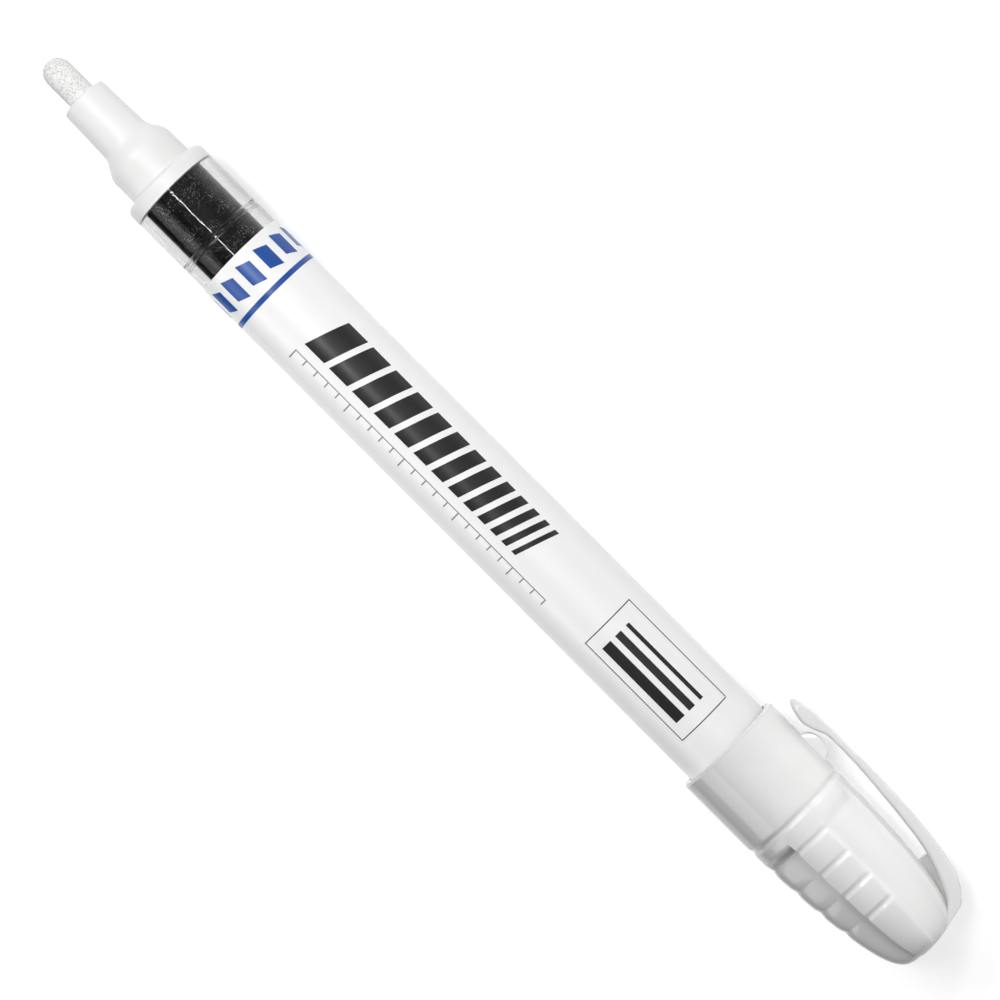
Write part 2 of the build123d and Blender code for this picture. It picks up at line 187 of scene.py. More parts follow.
def outline(*corners):
    """Line through (station, radius, round) corners, each corner an arc of its round that touches both sides.
    The arc's centre lies on the corner's bisector at round over the sine of half its angle."""
    points = np.array([corner[:2] for corner in corners], float)
    rounds = np.array([corner[2] if len(corner) > 2 else 0 for corner in corners], float)[1:-1, None]
    corner = points[1:-1]
    back = points[:-2] - corner
    ahead = points[2:] - corner
    back /= np.linalg.norm(back, axis=1, keepdims=True)
    ahead /= np.linalg.norm(ahead, axis=1, keepdims=True)
    half = np.arccos(np.clip((back * ahead).sum(1, keepdims=True), -1, 1)) / 2
    bisector = (back + ahead) / np.maximum(2 * np.cos(half), tiny)
    centre = corner + bisector * rounds / np.sin(half)
    first = corner + back * rounds / np.tan(half) - centre
    last = corner + ahead * rounds / np.tan(half) - centre
    sweep = np.pi - 2 * half
    part = np.linspace(0, 1, arc_steps)[None, :, None]
    turn = np.maximum(np.sin(sweep), tiny)[:, :, None]
    weights = np.sin((1 - part) * sweep[:, :, None]) / turn, np.sin(part * sweep[:, :, None]) / turn
    arcs = centre[:, None] + weights[0] * first[:, None] + weights[1] * last[:, None]
    line = np.concatenate([points[:1], arcs.reshape(-1, 2), points[-1:]])
    moves = np.linalg.norm(np.diff(line, axis=0), axis=1) > tiny
    return held(line[np.concatenate([[True], moves])])


def turned(name, line, closed=False, turns=192):
    """A line of (station, radius) points turned about the axis: a ring if closed, with poles if open."""
    return skin(name, around(line[:, :1], line[:, 1:], full_turn(turns)[None]), wrap_rows=closed)


# %% [markdown]
# ## Soft steps and crowded samples
#
# Moulded shapes have no true corners. A Bevel modifier could round them, but not where a rib fades out, so
# lips, ribs and channels are built from soft steps. A grid needs many lines where the surface turns sharply
# and few where it is calm, so the samples crowd together round chosen places.

# %% Steps and samples
fine_per_sample = 40


def ease(value, start, end):
    """Zero before start and one after end, with the cubic 3t squared minus 2t cubed between them."""
    part = np.clip((value - start) / (end - start), 0, 1)
    return part * part * (3 - 2 * part)


def window(value, start, end, edge):
    """One between start and end, falling to zero over an edge's width centred on each of them."""
    return ease(value, start - edge / 2, start + edge / 2) - ease(value, end - edge / 2, end + edge / 2)


def hump(value, centre, width):
    """Raised cosine: one at the centre, zero half a width away on both sides."""
    part = np.clip(np.abs(value - centre) / (width / 2), 0, 1)
    return (1 + np.cos(np.pi * part)) / 2


def crowded(low, high, count, centres, reach, boost=6.0):
    """Samples from low to high whose density is one plus a bell of height boost round each centre: the even
    steps of the density's running total, read backwards."""
    fine = np.linspace(low, high, fine_per_sample * count)
    bells = np.exp(-((fine[:, None] - np.array(centres)[None]) / reach) ** 2).sum(1)
    total = np.concatenate([[0], np.cumsum((1 + boost * bells)[:-1])])
    return np.interp(np.linspace(0, total[-1], count), total, fine)


def through(points, samples):
    """Smooth line through a few (station, reach) points: cubic Hermite pieces whose slopes are the chords
    between each point's neighbours, read at the samples of the first coordinate."""
    x, y = np.array(points, float).T
    slope = np.gradient(y, x)
    piece = np.clip(np.searchsorted(x, samples) - 1, 0, len(x) - 2)
    step = x[piece + 1] - x[piece]
    part = (samples - x[piece]) / step
    start = (1 + 2 * part) * (1 - part) ** 2 * y[piece] + part * (1 - part) ** 2 * step * slope[piece]
    end = part ** 2 * (3 - 2 * part) * y[piece + 1] - part ** 2 * (1 - part) * step * slope[piece + 1]
    return start + end


# %% [markdown]
# ## The nib
#
# The nib is a rod of bonded polyester fibre with a bullet end. A turned outline alone would look like
# plastic, so its radius also wanders a little, as a cut and ground felt does, and the finish adds its
# pores.

# %% Nib
nib_low, nib_high = box_mm("nib")
nib_radius = box_radius(nib_low, nib_high)
nib_crown = 2.1
nib_crown_power = 0.8
nib_unevenness = 0.016
nib_rows, nib_crown_rows, nib_turns = 90, 40, 96
felt_waves = ((5, 2.3, 0.4), (11, 4.1, 1.9), (17, 7.7, 3.3), (29, 11.3, 5.1))


def felt(station, angle):
    """Unevenness from minus one to one: the mean of a few sine waves, each with its count round the rod, its
    rate along it and its phase. The counts share no factor, so the pattern doesn't repeat."""
    waves = [np.sin(turns * angle + rate * station + phase) for turns, rate, phase in felt_waves]
    return sum(waves) / len(waves)


crown_angle = np.linspace(0, np.pi / 2, nib_crown_rows)
nib_stations = np.concatenate([
    [nib_low[0]], np.linspace(nib_low[0], nib_high[0] - nib_crown, nib_rows),
    nib_high[0] - nib_crown * (1 - np.sin(crown_angle))])[:, None]
nib_radii = np.concatenate([
    [0], np.full(nib_rows, nib_radius), nib_radius * np.cos(crown_angle) ** nib_crown_power])[:, None]
nib_angles = full_turn(nib_turns)[None]
nib_rough = nib_unevenness * felt(nib_stations, nib_angles) * nib_radii / nib_radius
nib = skin("nib_felt", around(nib_stations, nib_radii - nib_unevenness + nib_rough, nib_angles))
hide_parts("nib")
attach(nib, "nib")

# %% [markdown]
# ## The nose
#
# The nose is one satin moulding: a snout that holds the nib, an S-shaped flare, a shoulder that seals in
# the cap and a collar that sits on the barrel. A Screw modifier on a drawn curve would do. Here the outline
# is worked out from its sizes and turned, with the flare as a cosine between the two radii.

# %% Nose
nose_low, nose_high = box_mm("nose_cone")
collar_length = 2.1
shoulder_length = 3.65
flare_length = 3.25
flare_rows = 24
shoulder_radius = 4.75
snout_rear_radius = 3.375
snout_front_radius = 3.15
nib_bore_radius = nib_radius + 0.1
spigot_bore_radius = 3.97
feed_bore_radius = 2.8
feed_bore_end = nose_low[0] + 6.2
spigot_bore_end = nose_low[0] + 3.6
bore_round, snout_round, shoulder_round, collar_round = 0.08, 0.35, 0.3, 0.75

collar_front = nose_low[0] + collar_length
flare_front = collar_front + shoulder_length + flare_length
flare_stations = np.linspace(flare_front, flare_front - flare_length, flare_rows)
flare_swing = (1 - np.cos(np.linspace(0, np.pi, flare_rows))) / 2
flare = np.stack([flare_stations, snout_rear_radius + (shoulder_radius - snout_rear_radius) * flare_swing], 1)
snout = outline(
    (spigot_bore_end, spigot_bore_radius), (spigot_bore_end, feed_bore_radius),
    (feed_bore_end, feed_bore_radius), (feed_bore_end, nib_bore_radius),
    (nose_high[0], nib_bore_radius, bore_round), (nose_high[0], snout_front_radius, snout_round),
    (flare_front, snout_rear_radius))
collar = outline(
    tuple(flare[-1]), (collar_front, shoulder_radius, shoulder_round),
    (collar_front, barrel_radius, collar_round), (nose_low[0], barrel_radius),
    (nose_low[0], spigot_bore_radius), (spigot_bore_end, spigot_bore_radius))
nose = turned("nose_moulding", np.concatenate([snout[:-1], flare, collar[1:-1]]), closed=True)
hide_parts("nose_cone")
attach(nose, "barrel")

# %% [markdown]
# ## The clear barrel and what shows through it
#
# The barrel is a thick tube of clear plastic. A single skin would look like a soap bubble, because glass
# only looks right when both of its walls are there, so the tube is a closed ring with an inner and an outer
# skin. A ring groove near its front is the cap's snap. The dark valve housing inside it shows through the
# window between the collar and the label, so it fills the bore there.

# %% Barrel
neck_length = 8.25
neck_groove_width = 0.95
neck_groove_wall = 0.27
neck_groove_depth = 0.08
neck_groove_rows = 39
bore_radius = 4.6
barrel_edge = 0.06
barrel_turns = 256
butt_overlap = 0.01
groove_middle = barrel_high[0] - neck_length
groove_stations = groove_middle + np.linspace(neck_groove_width / 2, -neck_groove_width / 2, neck_groove_rows)
groove_radii = barrel_radius - neck_groove_depth * np.clip(
    (neck_groove_width / 2 - np.abs(groove_stations - groove_middle)) / neck_groove_wall, 0, 1)
barrel_front = outline(
    (barrel_low[0], bore_radius), (barrel_high[0] + butt_overlap, bore_radius),
    (barrel_high[0] + butt_overlap, barrel_radius), (groove_stations[0], barrel_radius))
barrel_rear = outline(
    (groove_stations[-1], barrel_radius), (barrel_low[0], barrel_radius, barrel_edge),
    (barrel_low[0], bore_radius))
barrel_line = np.concatenate(
    [barrel_front[:-1], np.stack([groove_stations, groove_radii], 1), barrel_rear[1:-1]])
barrel = turned("barrel_clear", barrel_line, closed=True, turns=barrel_turns)
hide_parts("barrel_tube")
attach(barrel, "barrel")

# %% Valve housing
housing_low, housing_high = box_mm("valve_housing")
label_low, label_high = box_mm("label_sleeve")
housing_press_radius = box_radius(housing_low, housing_high)
housing_view_radius = bore_radius - 0.03
spigot_radius = 3.95
inlet_radius = 3.0
stem_bore_radius = 1.5
stem_bore_end = barrel_high[0] - 1.4
chamber_radius = 3.4
chamber_end = barrel_high[0] - 14.5
retainer_radius = 3.71
housing_rear_round, housing_step_round, housing_front_round, spigot_round = 0.2, 0.03, 0.06, 0.1
housing = turned("housing_dark", outline(
    (housing_low[0], retainer_radius), (housing_low[0], housing_press_radius, housing_rear_round),
    (label_high[0], housing_press_radius, housing_step_round),
    (label_high[0], housing_view_radius, housing_step_round),
    (barrel_high[0], housing_view_radius, housing_front_round), (barrel_high[0], spigot_radius),
    (housing_high[0], spigot_radius, spigot_round), (housing_high[0], inlet_radius),
    (barrel_high[0], inlet_radius), (barrel_high[0], stem_bore_radius), (stem_bore_end, stem_bore_radius),
    (stem_bore_end, chamber_radius), (chamber_end, chamber_radius), (chamber_end, retainer_radius),
    (housing_low[0], retainer_radius)), closed=True)
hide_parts("valve_housing")
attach(housing, "barrel")

# %% [markdown]
# ## The valve spring
#
# The spring behind the nib's stem gets shorter when the nib is pressed. It is a round wire carried along a
# helix that stays with the barrel.

# %% Valve spring
spring_low, spring_high = box_mm("valve_spring")
wire_radius = 0.25
coil_turns = 6
press = joint("nib_press")
spring_seat = press["deforming_nodes"][0]["fixed_end_x_m"] / metres


def coil(low, high, radius, turns, steps=32, sides=12):
    """Round wire along a helix: at each step a circle in the plane of the outward direction and the direction
    square to it and to the helix. The first and last circle close on their middles."""
    angle = np.linspace(0, 2 * np.pi * turns, turns * steps + 1)[:, None]
    rise = (high - low) / angle[-1, 0]
    outward = np.cos(angle) * to_clip + np.sin(angle) * to_viewer
    forward = rise * along + radius * (np.cos(angle) * to_viewer - np.sin(angle) * to_clip)
    upward = np.cross(outward, forward) / np.linalg.norm(forward, axis=1, keepdims=True)
    middle = around(low + rise * angle, radius, angle)
    turn = full_turn(sides)[None, :, None]
    rings = middle + wire_radius * (np.cos(turn) * outward[:, None] + np.sin(turn) * upward[:, None])
    middles = np.repeat(middle, sides, axis=1)
    return np.concatenate([middles[:1], rings, middles[-1:]])


spring = skin("spring_coil", coil(
    spring_low[0] + wire_radius, spring_high[0] - wire_radius,
    box_radius(spring_low, spring_high) - wire_radius, coil_turns))
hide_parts("valve_spring")
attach(spring, "barrel")
spot(spring_seat, 0.0)
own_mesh(spring)

# %% [markdown]
# ## The label
#
# A white film sleeve covers the barrel from the window to just inside the posted cap's rim, so that no bare
# ring shows there. On the side away from the viewer its end laps over its start, which leaves a low step.
# The film could be a turned ring, but the lap makes its radius depend on the angle, so the grid adds it.

# %% Label film
label_radius = box_radius(label_low, label_high)
label_tuck = 2.0
label_rear = label_low[0] - label_tuck
film_gap = 0.01
film_round = 0.05
lap_angle = np.radians(250)
lap_height = 0.05
lap_step, lap_run_out = 0.01, 0.5
label_columns, lap_reach, lap_boost = 240, 0.03, 20
film_seat = barrel_radius + film_gap
label_angles = crowded(0, 2 * np.pi, label_columns, [lap_angle], lap_reach, boost=lap_boost)[:-1]
label_line = outline(
    (label_high[0], film_seat), (label_high[0], label_radius - lap_height, film_round),
    (label_rear, label_radius - lap_height, film_round), (label_rear, film_seat), (label_high[0], film_seat))
label_lift = np.where(label_line[:, 1] > film_seat + film_gap, lap_height, 0)[:, None]
label_lap = ease(label_angles, lap_angle - lap_step, lap_angle + lap_step) * (
    1 - ease(label_angles, lap_angle, lap_angle + lap_run_out))
label = skin("label_film", around(
    label_line[:, :1], label_line[:, 1:] + label_lift * label_lap[None], label_angles[None]), wrap_rows=True)
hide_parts("label_sleeve")
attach(label, "barrel")

# %% [markdown]
# ## The print
#
# The print is a generic design: slanted blue blocks with a ring, a row of slanted bars that get thinner, a
# grey tick scale, a frame with strokes of three widths, and a few grey rules on the far side. A texture
# could carry it, but screen ink stands a few hundredths of a millimetre high and has a crisp edge at any
# distance. So each mark is a thin closed sheet bent round the barrel, and one table of marks makes one
# piece for each ink.

# %% Ink
ink_height = 0.015
ink_root = 0.005
print_radius = label_radius - lap_height - ink_root
girth = 2 * np.pi * print_radius


def marks(starts, ends, lows, highs, slant=0.0):
    """Table of marks in millimetres: start and end behind the label's front edge, low and high edge round the
    barrel from the line that faces the viewer, positive towards the clip, and the slant along per step up."""
    columns = np.broadcast_arrays(*map(np.atleast_1d, (starts, ends, lows, highs, slant)))
    return np.stack(columns, 1).astype(float)


def printed(name, table, steps):
    """Thin closed sheet for each mark. Its rows run along the barrel, the end rows having no thickness; its
    columns go up the mark on the film and come back down on top of the ink."""
    start, end, low, high, slant = table.T[:, :, None, None]
    rows = np.array([0, 0, 1, 1])[None, :, None]
    lift = np.array([0, 1, 1, 0])[None, :, None] * ink_height
    up = np.linspace(0, 1, steps)
    column = np.concatenate([up, up[::-1]])[None, None]
    on_top = np.repeat([0, 1], steps)[None, None]
    height = low + (high - low) * column
    behind = start + (end - start) * rows + slant * (height - low)
    return skin(name, around(
        label_high[0] - behind, print_radius + lift * on_top, np.pi / 2 - height / print_radius))


# %% Blue blocks and ring
block_count = 13
block_start, block_end = 1.1, 4.3
block_share = 0.62
block_slant = 0.35
ring_start, ring_end = 6.0, 6.7
blue_steps = 120
block_lows = -girth / 2 + girth / block_count * np.arange(block_count)
ink_blue = printed("label_ink_blue", np.concatenate([
    marks(block_start, block_end, block_lows, block_lows + block_share * girth / block_count, block_slant),
    marks(ring_start, ring_end, -girth / 2, girth / 2)]), blue_steps)

# %% Black bars and stroke samples
bars_start, bar_gap = 13.0, 0.85
bar_low, bar_high, bar_slant = -2.1, 3.9, 0.33
bar_widths = np.linspace(3.4, 0.7, 13)
bar_starts = bars_start + np.cumsum(bar_widths + bar_gap) - bar_widths
frame_start, frame_end, frame_low, frame_high = 64.5, 81.5, -3.9, 4.3
frame_line = 0.14
stroke_inset = 2
stroke_lows = np.array([-2.7, -0.4, 1.5])
stroke_widths = np.array([1.5, 1.0, 0.55])
black_steps = 16
ink_black = printed("label_ink_black", np.concatenate([
    marks(bar_starts, bar_starts + bar_widths, bar_low, bar_high, bar_slant),
    marks(frame_start + stroke_inset, frame_end - stroke_inset, stroke_lows, stroke_lows + stroke_widths),
    marks(frame_start, frame_end, [frame_low, frame_high], [frame_low + frame_line, frame_high + frame_line]),
    marks(
        [frame_start, frame_end], [frame_start + frame_line, frame_end + frame_line], frame_low, frame_high),
]), black_steps)

# %% Grey scale and rules
scale_start, scale_low, scale_line = 13.5, -3.6, 0.15
tick_count, tick_pitch, tick_width = 24, 1.9, 0.18
long_tick, short_tick, long_every = 1.5, 0.9, 5
rule_count, rule_pitch, rule_width = 9, 1.1, 0.32
rules_start, rules_end, rules_low = 14, 58, girth / 2 - 4.8
rule_shortfalls = np.array([0, 3, 1, 9, 2, 0, 5, 1, 16])
grey_steps = 8
tick_starts = scale_start + np.arange(tick_count) * tick_pitch
tick_heights = np.where(np.arange(tick_count) % long_every == 0, long_tick, short_tick)
rule_lows = rules_low + np.arange(rule_count) * rule_pitch
ink_grey = printed("label_ink_grey", np.concatenate([
    marks(tick_starts, tick_starts + tick_width, scale_low - tick_heights, scale_low),
    marks(scale_start, tick_starts[-1] + tick_width, scale_low, scale_low + scale_line),
    marks(rules_start, rules_end - rule_shortfalls, rule_lows, rule_lows + rule_width)]), grey_steps)
for ink in (ink_blue, ink_black, ink_grey):
    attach(ink, "barrel")

# %% [markdown]
# ## The cap
#
# The cap is a glossy moulding with a plain skirt, a ring groove and a grip of ribbed lobes with deep
# channels between them. It could be cut from a turned body with Booleans, but those leave hard edges and
# poor faces. Here one function gives the radius at any depth from the mouth and any angle from the clip, so
# a single grid holds the whole outside. It starts at the bottom of the hollow, comes out over the rim and
# runs on to the end.

# %% Body of the cap
cap_low, cap_high = box_mm("cap_shell")
cap_length = cap_high[0] - cap_low[0]
skirt_radius = cap_high[2] - axis_middle[2]
body_start = 12.6
body_radius = 7.4
taper_power, taper_root = 1.5, 0.213
print("cap length", cap_length.round(2), "skirt radius", skirt_radius.round(2))


def body_share(depth):
    """How far a depth lies along the tapered body, from zero at its start to one at the cap's end."""
    return np.clip((depth - body_start) / (cap_length - body_start), 0, 1)


def taper(depth):
    """Share of the body's radius left at a depth: one minus the depth's share to a power, to a root."""
    return (1 - body_share(depth) ** taper_power) ** taper_root


def taper_depth(left):
    """The depth at which that share of the radius is left, which is the taper read backwards."""
    return body_start + (cap_length - body_start) * (1 - left ** (1 / taper_root)) ** (1 / taper_power)


# %% Clip's stop, ribs and channels
stop_middle, stop_half_length, stop_height = 7.9, 2.15, 1.4
stop_flank = (1.2, 1.6)
scoop_angles = (24, 78)
rib_depths = 15.4 + 3.93 * np.arange(4)
rib_fade = (scoop_angles[1] - 3, scoop_angles[1] + 5)
slot_width, slot_sink = 1.4, 0.2
notch_reach, notch_power, notch_sink = 1.3, 1.8, 0.24
channel_angle = 118
channel_wall, channel_flat, channel_end = 1, 14, 54
channel_fade = (13.8, 15.2)


def cap_stop(depth, side, fold):
    """Bump under the clip's tip: half an ellipse along the cap, with soft flanks, on the clip's side."""
    bulge = np.sqrt(np.clip(1 - ((depth - stop_middle) / stop_half_length) ** 2, 0, 1))
    return stop_height * bulge * (1 - ease(side, *stop_flank)) * (fold < 90)


def cap_ribs(depth, fold):
    """Depth of the grip: round slots up to the channel's wall and sharper notches beyond it."""
    slots = sum(hump(depth, at, slot_width) for at in rib_depths)
    notches = sum(np.clip(1 - np.abs(depth - at) / notch_reach, 0, 1) ** notch_power for at in rib_depths)
    return np.where(fold < channel_angle, slot_sink * slots, notch_sink * notches) * ease(fold, *rib_fade)


def cap_channel(depth, fold):
    """One in the channel and zero outside it: a steep wall at its angle, a flat and a long run-out."""
    wall = ease(fold, channel_angle - channel_wall, channel_angle + channel_wall)
    run_out = ease(fold, channel_angle + channel_flat, channel_angle + channel_end)
    return wall * (1 - run_out) * ease(depth, *channel_fade)


# %% Web between clip and cap
web_line = ((27.2, 8.9), (29.5, 8.35), (31.5, 7.6), (33.4, 6.4), (35.9, 2.0))
web_front, web_rear = web_line[0][0], web_line[-1][0]
web_step = 0.15
web_half_angle, web_growth, web_softening = 4.0, 15, 13
web_spread = (30.3, 34.0)


def cap_web(depth, fold):
    """Radius of the web that joins the clip to the cap's end: its top follows a smooth line, and its flanks
    spread and soften towards the end."""
    top = through(web_line, np.clip(depth, web_front, web_rear))
    spread = ease(depth, *web_spread)
    edge, soft = web_half_angle + web_growth * spread, 1 + web_softening * spread
    rise = ease(depth, web_front - web_step, web_front + web_step)
    return top * rise * (1 - ease(fold, edge - soft, edge + soft))


# %% Outside of the cap
ring_depth, ring_width, ring_sink = 12.0, 1.5, 0.3
clip_side_growth = 0.72
scoop_edge, scoop_sink = 8, 0.45
scoop_fade = (13.6, 15.6)
channel_share = 0.22


def cap_radius(depth, left, angle):
    """Radius of the cap's outside from the depth, the taper there and the angle: the skirt with its groove
    and stop, then the tapered body less its scoops, ribs and channels, or the web where that is higher."""
    fold = np.degrees(np.abs((angle + np.pi) % (2 * np.pi) - np.pi))
    growth = clip_side_growth * body_share(depth) * (1 + np.cos(np.radians(fold))) / 2
    skirt = skirt_radius - ring_sink * hump(depth, ring_depth, ring_width)
    base = np.where(depth < body_start, skirt, np.minimum(left * (body_radius + growth), skirt))
    stop = cap_stop(depth, base * np.sin(np.radians(fold)), fold)
    scooped = window(fold, scoop_angles[0] + scoop_edge / 2, scoop_angles[1], scoop_edge)
    scoop = scoop_sink * scooped * ease(depth, *scoop_fade) * left
    channel = cap_channel(depth, fold)
    lobed = (base + stop - scoop - cap_ribs(depth, fold) * (1 - channel)) * (1 - channel_share * channel)
    return np.maximum(lobed, cap_web(depth, fold) * (left > 0))


# %% Cap mesh
cap_columns, cap_rows, dome_rows = 305, 250, 26
angle_reach, depth_reach, depth_boost = 2.2, 0.5, 4
dome_start = 35.0
channel_start = 14.8
rim_height, rim_round = 0.3, 0.12
mouth_radius, mouth_round = 6.53, 0.08
hollow_line = (
    (31.9, 0), (31.9, 3.1), (31.25, 3.1), (24.5, 4.0), (17.25, 4.225), (14.8, 5.52), (11.15, 5.52),
    (11.15, 6.28), (2.2, 6.28), (2.2, mouth_radius))
angle_edges = np.array([*scoop_angles, channel_angle, channel_angle, channel_angle, web_half_angle])
depth_edges = [
    ring_depth, *rib_depths, *rib_depths, stop_middle - stop_half_length, stop_middle + stop_half_length,
    channel_start, web_front, web_front]
cap_angles = np.radians(crowded(
    0, 360, cap_columns, np.concatenate([angle_edges, 360 - angle_edges]), angle_reach))[:-1]
outer_depths = crowded(rim_height, dome_start, cap_rows, depth_edges, depth_reach, boost=depth_boost)
dome_left = np.linspace(taper(dome_start), 0, dome_rows)[1:]
depth_rows = np.concatenate([outer_depths, taper_depth(dome_left)])[:, None]
left_rows = np.concatenate([taper(outer_depths), dome_left])[:, None]
hollow = outline(
    *hollow_line, (0, mouth_radius, mouth_round), (0, skirt_radius - rim_height, rim_round),
    (rim_height, skirt_radius))[:-1]
rim_and_hollow = np.repeat(hollow[:, 1:], len(cap_angles), axis=1)
cap_radii = np.concatenate([rim_and_hollow, cap_radius(depth_rows, left_rows, cap_angles[None])])
cap_depths = np.concatenate([hollow[:, :1], depth_rows])
cap = skin("cap_moulding", around(cap_high[0] - cap_depths, cap_radii, cap_angles[None]))
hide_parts("cap_shell")
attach(cap, "cap")

# %% [markdown]
# ## The clip
#
# The clip is a springy arm with a bump under its tip. On the real cap it grows out of the end without a
# joint, so arm and root are one surface here: a rounded section carried along the cap, between a line for
# its back and a line for its belly.

# %% Clip
clip_half_width = 2.0
clip_corner_power = 5.0
clip_back = (
    (1.75, 9.92), (3.5, 10.35), (6.5, 10.6), (11.0, 10.66), (17.8, 10.62), (22.3, 10.41), (26.8, 9.9),
    (29.8, 9.42), (32.4, 8.55), (34.1, 7.3), (35.0, 5.9), (35.45, 3.3))
clip_belly = (
    (1.75, 9.2), (3.4, 8.64), (5.0, 8.47), (6.4, 8.9), (7.8, 9.5), (10.0, 9.63), (13.0, 9.58), (17.8, 9.23),
    (22.3, 8.79), (26.8, 8.1), (29.0, 7.45), (31.3, 6.5), (33.4, 5.3), (35.45, 2.4))
clip_tip, clip_end = clip_back[0][0], clip_back[-1][0]
tip_length, tip_rows, arm_rows, section_points = 0.35, 12, 170, 64
tip_round, plan_round = 0.45, 1.6
bend_radius, bend_root, bend_free = 9.0, 28.5, 23.5


def rounded_end(depth, length):
    """Quarter circle from zero at the clip's tip to one at a length behind it."""
    return np.sqrt(1 - (1 - np.clip((depth - clip_tip) / length, 0, 1)) ** 2)


def squared(value):
    """Sine or cosine pushed towards plus and minus one, which makes a circle a rounded rectangle."""
    return np.sign(value) * np.abs(value) ** (2 / clip_corner_power)


clip_depths = np.concatenate([
    clip_tip + tip_length * np.linspace(0, 1, tip_rows) ** 2,
    np.linspace(clip_tip + tip_length, clip_end, arm_rows)[1:]])[:, None]
back_line = through(clip_back, clip_depths)
belly_line = through(clip_belly, clip_depths)
half_height = (back_line - belly_line) / 2 * rounded_end(clip_depths, tip_round)
section_angle = full_turn(section_points)[None]
clip_rise = (back_line + belly_line) / 2 + half_height * squared(np.sin(section_angle))
clip_side = clip_half_width * rounded_end(clip_depths, plan_round) * squared(np.cos(section_angle))
clip_grid = around(
    cap_high[0] - clip_depths, np.hypot(clip_rise, clip_side), np.arctan2(clip_side, clip_rise))
end_point = np.repeat(clip_grid[-1:].mean(axis=1, keepdims=True), section_points, axis=1)
clip = skin("clip_arm", np.concatenate([clip_grid, end_point]))
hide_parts("pocket_clip")
spot(cap_high[0] - bend_root, bend_radius)
spot(cap_high[0] - bend_free, bend_radius)
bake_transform(clip)

# %% [markdown]
# ## Effects that finishes share
#
# A material is a small network of nodes. Image textures would need files, so every pattern is worked out
# from the object's own coordinates. Effects that several finishes share are node groups, built once: the
# soft waviness that a moulded skin keeps from its tool, the slight drift of a pigment, and scattered
# specks.


# %% Node helpers
def wire(tree, kind, inputs=None, **settings):
    """Adds a node. Settings are its own properties; inputs give each socket a value or the output to link."""
    node = tree.nodes.new("ShaderNode" + kind)
    for name, value in settings.items():
        setattr(node, name, value)
    for socket, value in (inputs or {}).items():
        if isinstance(value, bpy.types.NodeSocket):
            tree.links.new(value, node.inputs[socket])
        else:
            node.inputs[socket].default_value = value
    return node


def maths(tree, operation, first, second=0.0, **settings):
    """Output of a Math node on one or two values or outputs."""
    return wire(tree, "Math", {0: first, 1: second}, operation=operation, **settings).outputs[0]


def group(name, inputs, outputs):
    """Empty shader group with named sockets, and its input and output nodes."""
    tree = bpy.data.node_groups.new(name, "ShaderNodeTree")
    for socket, kind in inputs.items():
        tree.interface.new_socket(socket, in_out="INPUT", socket_type="NodeSocket" + kind)
    for socket, kind in outputs.items():
        tree.interface.new_socket(socket, in_out="OUTPUT", socket_type="NodeSocket" + kind)
    return tree, tree.nodes.new("NodeGroupInput").outputs, tree.nodes.new("NodeGroupOutput").inputs


# %% Moulded skin group
wave_detail = 3.0
rub_scale, rub_detail, rub_roughness = 310.0, 5.0, 0.65
skin_group, given, made = group(
    "moulded skin", {"Vector": "Vector", "Scale": "Float", "Roughness": "Float", "Spread": "Float"},
    {"Roughness": "Float", "Height": "Float"})
waves = wire(skin_group, "TexNoise", {
    "Vector": given["Vector"], "Scale": given["Scale"], "Detail": wave_detail})
rubs = wire(skin_group, "TexNoise", {
    "Vector": given["Vector"], "Scale": rub_scale, "Detail": rub_detail, "Roughness": rub_roughness})
swing = maths(skin_group, "SUBTRACT", rubs.outputs[0], 0.5)
amount = maths(skin_group, "MULTIPLY", swing, given["Spread"])
skin_group.links.new(maths(skin_group, "ADD", amount, given["Roughness"]), made["Roughness"])
skin_group.links.new(waves.outputs[0], made["Height"])

# %% Pigment drift group
cloud_detail = 4.0
cloud_low, cloud_high = 0.35, 0.65
drift_group, given, made = group(
    "pigment drift", {"Vector": "Vector", "Scale": "Float", "Light": "Color", "Deep": "Color"},
    {"Color": "Color"})
clouds = wire(drift_group, "TexNoise", {
    "Vector": given["Vector"], "Scale": given["Scale"], "Detail": cloud_detail})
depth = wire(drift_group, "MapRange", {0: clouds.outputs[0], 1: cloud_low, 2: cloud_high, 3: 0.0, 4: 1.0})
mixed = wire(drift_group, "Mix", {
    0: depth.outputs[0], 6: given["Light"], 7: given["Deep"]}, data_type="RGBA")
drift_group.links.new(mixed.outputs[2], made["Color"])

# %% Speck group
patch_scale, patch_detail, patch_edge = 520.0, 3.0, 0.2
speck_group, given, made = group(
    "specks", {
        "Vector": "Vector", "Scale": "Float", "Size": "Float", "Bare": "Float", "Color": "Color",
        "Speck": "Color"},
    {"Color": "Color"})
cells = wire(speck_group, "TexVoronoi", {"Vector": given["Vector"], "Scale": given["Scale"]})
close = maths(speck_group, "LESS_THAN", cells.outputs["Distance"], given["Size"])
patchy = wire(speck_group, "TexNoise", {
    "Vector": given["Vector"], "Scale": patch_scale, "Detail": patch_detail})
where = wire(speck_group, "MapRange", {
    0: patchy.outputs[0], 1: given["Bare"], 2: maths(speck_group, "ADD", given["Bare"], patch_edge),
    3: 0.0, 4: 1.0})
mask = maths(speck_group, "MULTIPLY", close, where.outputs[0])
tinted = wire(speck_group, "Mix", {0: mask, 6: given["Color"], 7: given["Speck"]}, data_type="RGBA")
speck_group.links.new(tinted.outputs[2], made["Color"])
print("node groups:", len(bpy.data.node_groups))


